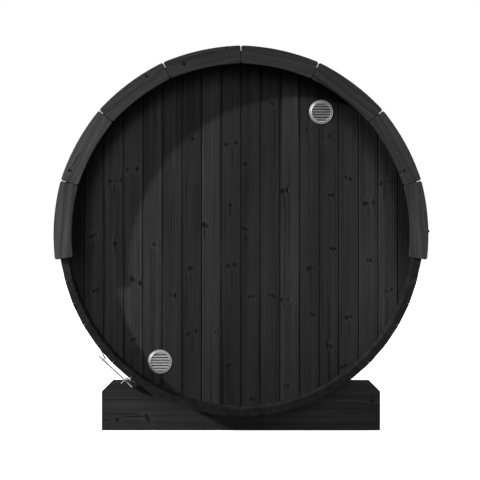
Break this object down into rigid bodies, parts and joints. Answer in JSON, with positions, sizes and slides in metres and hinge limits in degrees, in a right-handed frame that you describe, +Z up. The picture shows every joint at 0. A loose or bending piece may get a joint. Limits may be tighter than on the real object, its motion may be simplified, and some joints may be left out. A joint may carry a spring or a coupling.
{
  "type": "barrel sauna",
  "caption": "Lying timber barrel with set-back end walls, fascia boards, louvred vents and steel bands, carried on two cradles.",
  "frame": {"origin": "middle of the footprint, on the ground under the barrel", "axes": "+Y along the barrel from its vented back end to its door end, +Z up, +X to the right as seen from the back end"},
  "size_m": [2.0607, 2.456, 2.1446],
  "materials": {
    "barrel_timber": "black stained, satin",
    "wall_timber": "black stained, satin",
    "fascia_timber": "black stained, satin",
    "cradle_timber": "black stained, satin",
    "door_timber": "black stained, satin",
    "handle_timber": "black stained, satin",
    "roof_felt": "matt mineral felt",
    "vent_metal": "brushed",
    "band_steel": "brushed",
    "dark_steel": "black, satin"
  },
  "bodies": {
    "root": {"back_band": "band_steel", "back_band_lugs": "band_steel", "back_band_rod": "band_steel", "back_cradle": "cradle_timber", "back_fascia_left_1": "fascia_timber", "back_fascia_left_2": "fascia_timber", "back_fascia_left_3": "fascia_timber", "back_fascia_left_4": "fascia_timber", "back_fascia_right_1": "fascia_timber", "back_fascia_right_2": "fascia_timber", "back_fascia_right_3": "fascia_timber", "back_fascia_right_4": "fascia_timber", "back_wall": "wall_timber", "bottom_staves": "barrel_timber", "door": "door_timber", "door_frame": "door_timber", "door_handle": "handle_timber", "door_hinges": "dark_steel", "fascia_screw": "dark_steel", "front_band": "band_steel", "front_band_lugs": "band_steel", "front_band_rod": "band_steel", "front_cradle": "cradle_timber", "front_fascia_left_1": "fascia_timber", "front_fascia_left_2": "fascia_timber", "front_fascia_left_3": "fascia_timber", "front_fascia_left_4": "fascia_timber", "front_fascia_right_1": "fascia_timber", "front_fascia_right_2": "fascia_timber", "front_fascia_right_3": "fascia_timber", "front_fascia_right_4": "fascia_timber", "front_wall_left": "wall_timber", "front_wall_over_door": "wall_timber", "front_wall_right": "wall_timber", "front_wall_under_door": "wall_timber", "left_staves": "barrel_timber", "lower_left_staves": "barrel_timber", "lower_right_staves": "barrel_timber", "lower_vent": "vent_metal", "right_staves": "barrel_timber", "roof_covering": "roof_felt", "top_staves": "barrel_timber", "upper_left_staves": "barrel_timber", "upper_right_staves": "barrel_timber", "upper_vent": "vent_metal"}
  },
  "joints": []
}
